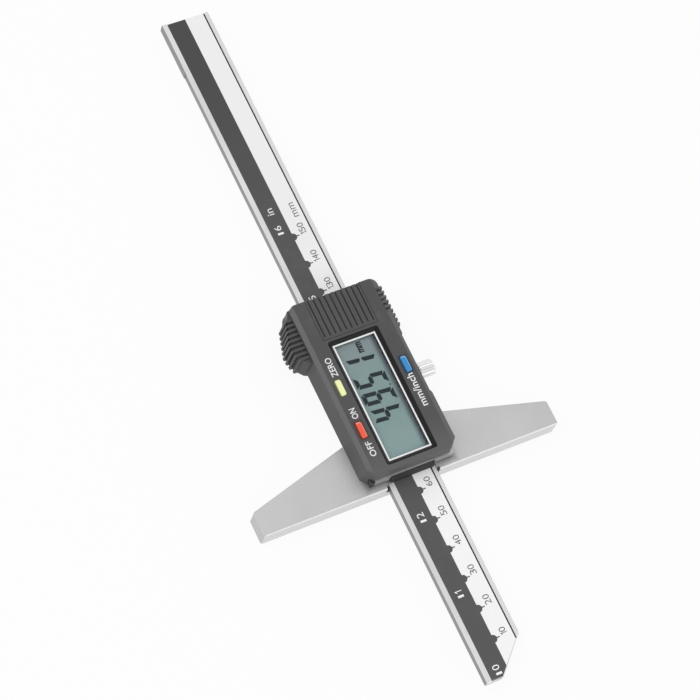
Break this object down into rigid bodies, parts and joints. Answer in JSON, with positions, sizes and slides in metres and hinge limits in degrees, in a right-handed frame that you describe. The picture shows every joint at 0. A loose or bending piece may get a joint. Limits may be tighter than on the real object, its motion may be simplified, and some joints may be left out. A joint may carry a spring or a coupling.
{
  "type": "digital depth gauge",
  "caption": "T-shaped steel depth gauge base with a sliding scale beam, a lock screw, and a moulded display module with a finned grip, a ribbed edge, push buttons and a sliding battery door.",
  "frame": {"origin": "middle of the measuring face, on the beam's centre line and half way through the steel bridge behind the beam", "axes": "+X along the measuring face towards the lock screw, +Y up the beam towards its tail, +Z out of the display; the gauge lies on its back"},
  "size_m": [0.1, 0.2342, 0.0149],
  "materials": {
    "frame_steel": "satin ground",
    "gib_brass": "satin",
    "set_screw_steel": "dark oxide",
    "chassis_metal": "satin",
    "wiper_rubber": "matt",
    "housing_plastic": "fine matt",
    "door_plastic": "fine matt",
    "bezel_black": "semi gloss",
    "line_white": "printed",
    "lens_clear": "clear",
    "lcd_glass": "satin",
    "zebra_rubber": "matt",
    "board_green": "lacquered",
    "header_black": "moulded",
    "tray_black": "moulded",
    "cell_steel": "polished",
    "contact_brass": "plated",
    "beam_steel": "ground",
    "scale_board": "lacquered",
    "scale_film": "printed",
    "screw_bright": "satin plated",
    "pad_brass": "turned",
    "button_yellow": "matt",
    "button_red": "matt",
    "button_blue": "matt",
    "module_screw_steel": "plated",
    "dome_steel": "polished"
  },
  "bodies": {
    "gauge_frame": {"t_frame": "frame_steel", "gib_strip": "gib_brass", "gib_screw_1": "set_screw_steel", "gib_screw_2": "set_screw_steel", "chassis_plate": "chassis_metal", "beam_wiper": "wiper_rubber", "front_housing": "housing_plastic", "display_bezel": "bezel_black", "display_line": "line_white", "display_lens": "lens_clear", "lcd_panel": "lcd_glass", "zebra_left": "zebra_rubber", "zebra_right": "zebra_rubber", "main_board": "board_green", "sensor_board": "board_green", "board_link": "header_black", "battery_tray": "tray_black", "battery_cell": "cell_steel", "battery_contact": "contact_brass", "battery_side_contact": "contact_brass", "module_screw_1": "module_screw_steel", "module_screw_2": "module_screw_steel", "module_screw_3": "module_screw_steel", "module_screw_4": "module_screw_steel", "switch_dome_zero": "dome_steel", "switch_dome_power": "dome_steel", "switch_dome_units": "dome_steel"},
    "sliding_beam": {"beam": "beam_steel", "scale_board": "scale_board", "scale_label": "scale_film"},
    "pad": {"lock_pad": "pad_brass"},
    "screw": {"lock_screw": "screw_bright"},
    "zero_button": {"button_zero": "button_yellow"},
    "power_button": {"button_power": "button_red"},
    "units_button": {"button_units": "button_blue"},
    "door": {"battery_door": "door_plastic"}
  },
  "joints": [
    {"name": "beam_slide", "type": "slide", "parent": "gauge_frame", "child": "sliding_beam", "axis": [0, 1, 0], "range_m": [-0.0885, 0.0653]},
    {"name": "lock_pad_slide", "type": "slide", "parent": "gauge_frame", "child": "pad", "axis": [1, 0, 0], "range_m": [-0.00013, 0.001]},
    {"name": "lock_screw_turn", "type": "hinge", "parent": "pad", "child": "screw", "pos_m": [0, 0.0317, 0.0028], "axis": [1, 0, 0], "range_deg": [-91, 721]},
    {"name": "zero_press", "type": "slide", "parent": "gauge_frame", "child": "zero_button", "axis": [0, 0, 1], "range_m": [-0.0004, 0], "stiffness_N_per_m": 2500, "springref_m": 0.0002},
    {"name": "power_press", "type": "slide", "parent": "gauge_frame", "child": "power_button", "axis": [0, 0, 1], "range_m": [-0.0004, 0], "stiffness_N_per_m": 2500, "springref_m": 0.0002},
    {"name": "units_press", "type": "slide", "parent": "gauge_frame", "child": "units_button", "axis": [0, 0, 1], "range_m": [-0.0004, 0], "stiffness_N_per_m": 2500, "springref_m": 0.0002},
    {"name": "battery_door_slide", "type": "slide", "parent": "gauge_frame", "child": "door", "axis": [0, 1, 0], "range_m": [0, 0.014]}
  ],
  "couplings": [
    {"joint": "lock_screw_turn", "follows": "lock_pad_slide", "rad_per_m": 12566}
  ]
}
